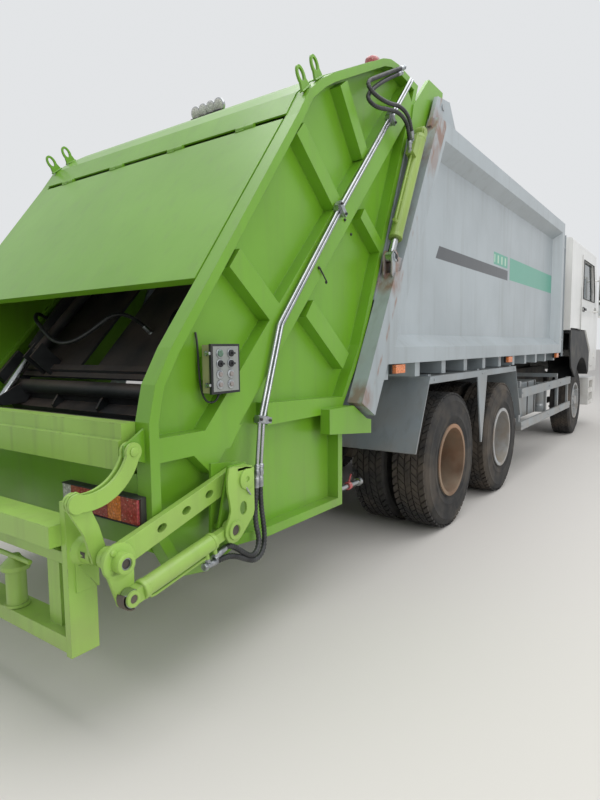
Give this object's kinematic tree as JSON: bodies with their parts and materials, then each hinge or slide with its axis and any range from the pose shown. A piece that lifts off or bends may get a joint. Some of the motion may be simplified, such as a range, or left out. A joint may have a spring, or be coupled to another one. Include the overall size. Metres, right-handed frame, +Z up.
{
  "type": "rear loader garbage truck",
  "caption": "Refuse truck with a long ribbed load body, a lifting green tailgate with hopper, packing blade, side doors, tilting cab and rear bin lifter.",
  "frame": {"origin": "middle of the overall outline, on the ground", "axes": "+X towards the cab, +Y to the truck's left, +Z up"},
  "size_m": [10.475, 2.94, 3.2938],
  "materials": {
    "green_paint": "glossy, weathered",
    "silver_paint": "satin, weathered",
    "grey_paint": "satin",
    "white_paint": "glossy",
    "chassis_black": "satin, dusty",
    "rim_silver": "satin, dusty",
    "tyre": "matt",
    "glass": "clear",
    "black_plastic": "matt",
    "orange_lens": "glossy",
    "red_lens": "glossy",
    "polished_steel": "polished",
    "seat_fabric": "woven"
  },
  "bodies": {
    "truck": {"chassis_frame": "chassis_black", "engine_block": "chassis_black", "side_tanks": "grey_paint", "rear_fenders": "grey_paint", "side_guards": "grey_paint", "front_bumper": "white_paint", "lamps": "orange_lens", "body_floor": "silver_paint", "body_sides": "silver_paint", "body_roof_front": "silver_paint", "rear_frame": "silver_paint", "ladder": "grey_paint", "front_axle": "chassis_black", "rear_axles": "chassis_black"},
    "cab": {"cab_floor": "chassis_black", "cab_shell": "white_paint", "cab_roof": "white_paint", "cab_front": "white_paint", "windscreen": "glass", "wheel_arches": "black_plastic", "seats": "seat_fabric", "dashboard": "black_plastic"},
    "door_left": {"door_left": "white_paint", "door_glass_left": "glass"},
    "door_right": {"door_right": "white_paint", "door_glass_right": "glass"},
    "knuckle_left": {"knuckle_left": "chassis_black"},
    "knuckle_right": {"knuckle_right": "chassis_black"},
    "wheel_front_left": {"tyre_front_left": "tyre", "rim_front_left": "rim_silver"},
    "wheel_front_right": {"tyre_front_right": "tyre", "rim_front_right": "rim_silver"},
    "wheels_middle_left": {"tyres_middle_left": "tyre", "rims_middle_left": "rim_silver"},
    "wheels_middle_right": {"tyres_middle_right": "tyre", "rims_middle_right": "rim_silver"},
    "wheels_rear_left": {"tyres_rear_left": "tyre", "rims_rear_left": "rim_silver"},
    "wheels_rear_right": {"tyres_rear_right": "tyre", "rims_rear_right": "rim_silver"},
    "tailgate": {"tailgate_sides": "green_paint", "tailgate_top": "green_paint", "hopper": "green_paint", "steel_pipes": "polished_steel", "tailgate_fittings": "grey_paint", "tail_lamps": "red_lens"},
    "lid": {"tailgate_lid": "green_paint"},
    "carriage": {"packer_carriage": "chassis_black"},
    "blade": {"packer_blade": "chassis_black"},
    "ejector": {"ejector": "grey_paint"},
    "lift_barrels": {"lift_barrels": "green_paint"},
    "lift_rods": {"lift_rods": "polished_steel"},
    "blade_barrels": {"blade_barrels": "chassis_black"},
    "blade_rods": {"blade_rods": "polished_steel"},
    "lifter_arms": {"lifter_arms": "green_paint"},
    "lifter_frame": {"lifter_frame": "green_paint"},
    "lifter_links": {"lifter_links": "green_paint"},
    "lifter_barrels": {"lifter_barrels": "green_paint"},
    "lifter_rods": {"lifter_rods": "polished_steel"}
  },
  "joints": [
    {"name": "steer_left", "type": "hinge", "parent": "truck", "child": "knuckle_left", "pos_m": [3.7375, 0.85, 0.535], "axis": [0, 0, 1], "range_deg": [-35, 35]},
    {"name": "steer_right", "type": "hinge", "parent": "truck", "child": "knuckle_right", "pos_m": [3.7375, -0.85, 0.535], "axis": [0, 0, 1], "range_deg": [-35, 35]},
    {"name": "spin_front_left", "type": "hinge", "parent": "knuckle_left", "child": "wheel_front_left", "pos_m": [3.7375, 1.011, 0.535], "axis": [0, 1, 0], "continuous": true},
    {"name": "spin_front_right", "type": "hinge", "parent": "knuckle_right", "child": "wheel_front_right", "pos_m": [3.7375, -1.011, 0.535], "axis": [0, 1, 0], "continuous": true},
    {"name": "spin_middle_left", "type": "hinge", "parent": "truck", "child": "wheels_middle_left", "pos_m": [-0.5875, 0.915, 0.535], "axis": [0, 1, 0], "continuous": true},
    {"name": "spin_middle_right", "type": "hinge", "parent": "truck", "child": "wheels_middle_right", "pos_m": [-0.5875, -0.915, 0.535], "axis": [0, 1, 0], "continuous": true},
    {"name": "spin_rear_left", "type": "hinge", "parent": "truck", "child": "wheels_rear_left", "pos_m": [-1.9375, 0.915, 0.535], "axis": [0, 1, 0], "continuous": true},
    {"name": "spin_rear_right", "type": "hinge", "parent": "truck", "child": "wheels_rear_right", "pos_m": [-1.9375, -0.915, 0.535], "axis": [0, 1, 0], "continuous": true},
    {"name": "cab_tilt", "type": "hinge", "parent": "truck", "child": "cab", "pos_m": [5.1425, 0, 0.9], "axis": [0, 1, 0], "range_deg": [0, 50]},
    {"name": "door_left_hinge", "type": "hinge", "parent": "cab", "child": "door_left", "pos_m": [4.7905, 1.25, 1.9], "axis": [0, 0, -1], "range_deg": [0, 70]},
    {"name": "door_right_hinge", "type": "hinge", "parent": "cab", "child": "door_right", "pos_m": [4.7905, -1.25, 1.9], "axis": [0, 0, 1], "range_deg": [0, 70]},
    {"name": "tailgate_lift", "type": "hinge", "parent": "truck", "child": "tailgate", "pos_m": [-2.1715, 0, 3.138], "axis": [0, 1, 0], "range_deg": [0, 88]},
    {"name": "lid_hinge", "type": "hinge", "parent": "tailgate", "child": "lid", "pos_m": [-3.8775, 0, 2.577], "axis": [0, 1, 0], "range_deg": [0, 110]},
    {"name": "carriage_slide", "type": "slide", "parent": "tailgate", "child": "carriage", "axis": [0.6845, 0, 0.729], "range_m": [0, 0.85]},
    {"name": "blade_swing", "type": "hinge", "parent": "carriage", "child": "blade", "pos_m": [-4.2375, 0, 1.2], "axis": [0, 1, 0], "range_deg": [0, 123]},
    {"name": "ejector_slide", "type": "slide", "parent": "truck", "child": "ejector", "axis": [-1, 0, 0], "range_m": [0, 3.6]},
    {"name": "lifter_swing", "type": "hinge", "parent": "tailgate", "child": "lifter_arms", "pos_m": [-4.4475, 0, 0.883], "axis": [0, 1, 0], "range_deg": [0, 42]},
    {"name": "lifter_frame_turn", "type": "hinge", "parent": "lifter_arms", "child": "lifter_frame", "pos_m": [-5.0565, 0, 0.707], "axis": [0, 1, 0], "range_deg": [0, 21.1]},
    {"name": "lifter_link_turn", "type": "hinge", "parent": "tailgate", "child": "lifter_links", "pos_m": [-4.9185, 0, 1.06], "axis": [0, 1, 0], "range_deg": [0, 134.5]},
    {"name": "lifter_ram_turn", "type": "hinge", "parent": "tailgate", "child": "lifter_barrels", "pos_m": [-4.5225, 0, 0.681], "axis": [0, 1, 0], "range_deg": [0, 45]},
    {"name": "lifter_ram_stroke", "type": "slide", "parent": "lifter_barrels", "child": "lifter_rods", "axis": [-0.9801, 0, -0.1983], "range_m": [0, 0.2]},
    {"name": "lift_ram_turn", "type": "hinge", "parent": "truck", "child": "lift_rods", "pos_m": [-2.9925, 0, 1.985], "axis": [0, 1, 0], "range_deg": [-10.5, 0.5]},
    {"name": "lift_ram_stroke", "type": "slide", "parent": "lift_rods", "child": "lift_barrels", "axis": [0.4542, 0, 0.8909], "range_m": [0, 0.65]},
    {"name": "blade_ram_turn", "type": "hinge", "parent": "carriage", "child": "blade_barrels", "pos_m": [-3.76498, 0, 1.9223], "axis": [0, 1, 0], "range_deg": [0, 8]},
    {"name": "blade_ram_stroke", "type": "slide", "parent": "blade_barrels", "child": "blade_rods", "axis": [-0.6217, 0, -0.7832], "range_m": [-0.36, 0]}
  ],
  "couplings": [
    {"joint": "steer_right", "follows": "steer_left", "ratio": 1},
    {"joint": "lifter_frame_turn", "follows": "lifter_swing", "ratio": 0.5},
    {"joint": "lifter_link_turn", "follows": "lifter_swing", "ratio": 3.2},
    {"joint": "lifter_ram_turn", "follows": "lifter_swing", "ratio": 1.0644},
    {"joint": "lifter_ram_stroke", "follows": "lifter_swing", "m_per_rad": 0.2661},
    {"joint": "lift_ram_turn", "follows": "tailgate_lift", "ratio": -0.09275},
    {"joint": "lift_ram_stroke", "follows": "tailgate_lift", "m_per_rad": 0.41546},
    {"joint": "blade_ram_turn", "follows": "blade_swing", "ratio": 0.01529},
    {"joint": "blade_ram_stroke", "follows": "blade_swing", "m_per_rad": -0.15502}
  ]
}
